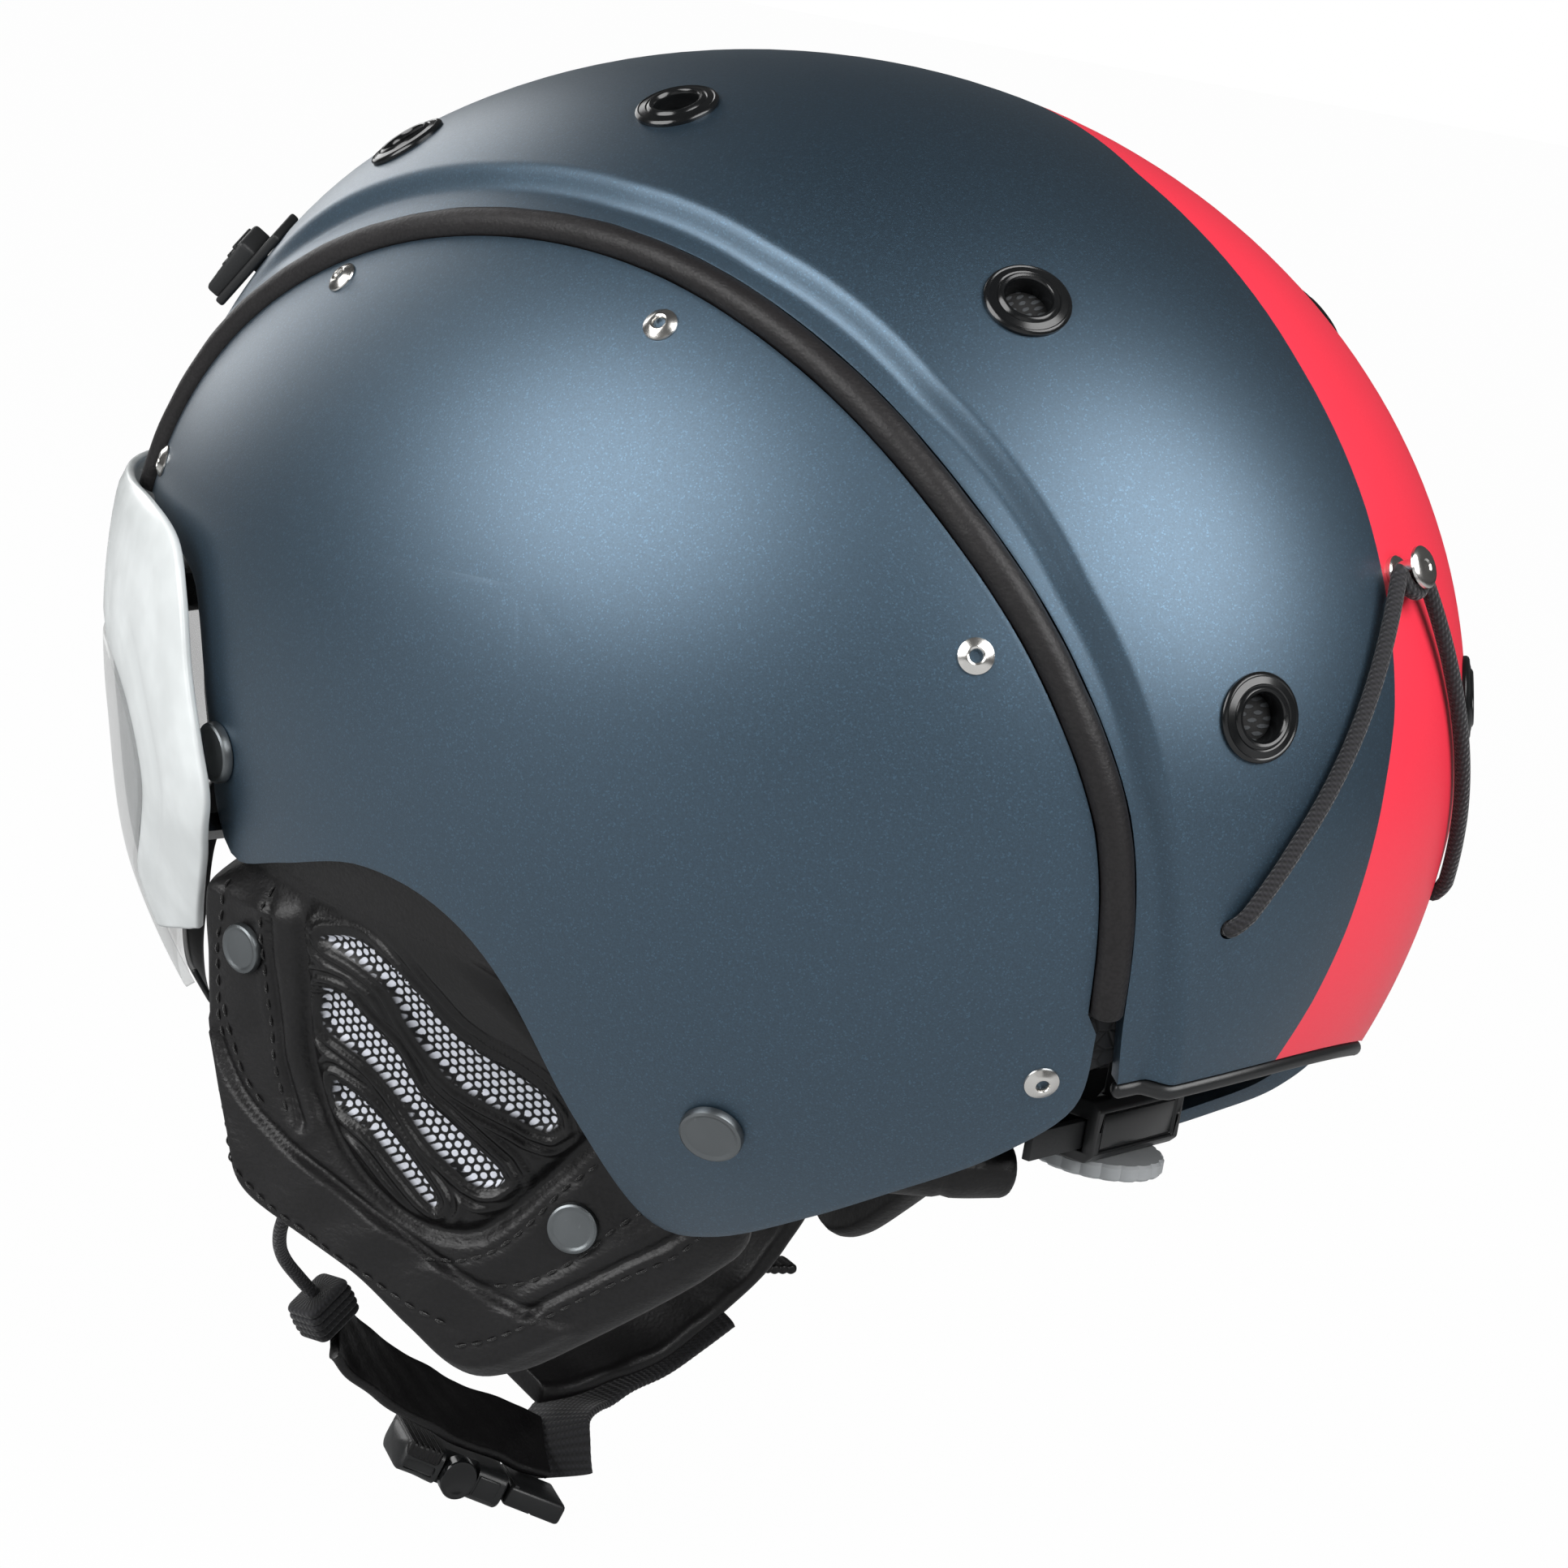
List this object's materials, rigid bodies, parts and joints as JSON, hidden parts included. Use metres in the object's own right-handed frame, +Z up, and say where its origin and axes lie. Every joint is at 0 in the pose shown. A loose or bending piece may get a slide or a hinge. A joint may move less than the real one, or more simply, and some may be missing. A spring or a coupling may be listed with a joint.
{
  "type": "visor ski helmet",
  "caption": "Ski helmet with a hard shell edged in padded trim, a lift-up clear visor in a curved frame, soft ear pads, a buckled chin strap and a nape fit dial.",
  "frame": {"origin": "middle of the wearer's head, between the ears, on the axis the visor lifts about", "axes": "+X to the wearer's left, +Y to the back of the head, +Z up; the visor faces -Y"},
  "size_m": [0.217, 0.2947, 0.3118],
  "materials": {
    "shell": "satin metallic paint",
    "trim": "grained, brown-black",
    "pale": "light grey",
    "foam": "moulded foam, dark grey",
    "lining": "soft padding, dark grey",
    "gloss": "glossy black",
    "nickel": "bright nickel plate",
    "gunmetal": "dark gunmetal plate",
    "web": "woven black",
    "matte": "fine matte black",
    "frame": "glossy white",
    "lens": "clear, faintly grey",
    "leather": "soft black with stitching"
  },
  "bodies": {
    "helmet": {"centre_shell": "shell", "side_panel_left": "shell", "side_panel_right": "shell", "trim_arc_left": "trim", "trim_arc_right": "trim", "brow_trim": "trim", "rear_rim_trim": "pale", "foam_liner": "foam", "comfort_liner": "lining", "vent_grommet_front_left": "gloss", "vent_grommet_front_right": "gloss", "vent_grommet_top_left": "gloss", "vent_grommet_top_right": "gloss", "vent_grommet_back_left": "gloss", "vent_grommet_back_right": "gloss", "vent_grommet_rear_left": "gloss", "vent_grommet_rear_right": "gloss", "rivet_brow_left": "nickel", "rivet_front_left": "nickel", "rivet_top_left": "nickel", "rivet_back_left": "nickel", "rivet_rear_left": "nickel", "panel_stud_left": "gunmetal", "guide_stud_left": "gunmetal", "rivet_brow_right": "nickel", "rivet_front_right": "nickel", "rivet_top_right": "nickel", "rivet_back_right": "nickel", "rivet_rear_right": "nickel", "panel_stud_right": "gunmetal", "guide_stud_right": "gunmetal", "strap_button": "nickel", "elastic_cord": "web", "ear_pad_left": "leather", "ear_pad_right": "leather", "ear_stud_front_left": "gunmetal", "ear_stud_front_right": "gunmetal", "ear_stud_rear_left": "gunmetal", "ear_stud_rear_right": "gunmetal", "neck_pad_left": "leather", "neck_pad_right": "leather", "fit_housing": "matte", "chin_loop": "web", "chin_band": "leather", "chin_webbing": "web", "chin_sleeve": "leather", "buckle_body": "matte", "buckle_tongue": "matte"},
    "visor": {"visor_frame": "frame", "visor_lens": "lens", "visor_gasket": "gloss", "nose_guard": "gloss", "visor_arm_left": "gloss", "visor_arm_right": "gloss"},
    "slider_left": {"vent_slider_left": "matte"},
    "slider_right": {"vent_slider_right": "matte"},
    "release": {"buckle_release": "gloss"},
    "dial": {"fit_dial": "pale"},
    "rack_left": {"fit_rack_left": "matte"},
    "rack_right": {"fit_rack_right": "matte"}
  },
  "joints": [
    {"name": "visor_lift", "type": "hinge", "parent": "helmet", "child": "visor", "pos_m": [0, 0, 0], "axis": [-1, 0, 0], "range_deg": [0, 32]},
    {"name": "slider_left_slide", "type": "slide", "parent": "helmet", "child": "slider_left", "axis": [0, -0.6481, -0.7616], "range_m": [-0.003, 0.003]},
    {"name": "slider_right_slide", "type": "slide", "parent": "helmet", "child": "slider_right", "axis": [0, -0.6481, -0.7616], "range_m": [-0.003, 0.003]},
    {"name": "release_press", "type": "slide", "parent": "helmet", "child": "release", "axis": [-0.5783, -0.8159, 0], "range_m": [0, 0.0015], "stiffness_N_per_m": 400, "springref_m": -0.001},
    {"name": "dial_turn", "type": "hinge", "parent": "helmet", "child": "dial", "pos_m": [0, 0.092, -0.074], "axis": [0, 0, 1], "range_deg": [0, 145]},
    {"name": "rack_left_slide", "type": "slide", "parent": "helmet", "child": "rack_left", "axis": [-1, 0, 0], "range_m": [0, 0.0084]},
    {"name": "rack_right_slide", "type": "slide", "parent": "helmet", "child": "rack_right", "axis": [1, 0, 0], "range_m": [0, 0.0084]}
  ],
  "couplings": [
    {"joint": "rack_left_slide", "follows": "dial_turn", "m_per_rad": 0.00315},
    {"joint": "rack_right_slide", "follows": "dial_turn", "m_per_rad": 0.00315}
  ]
}
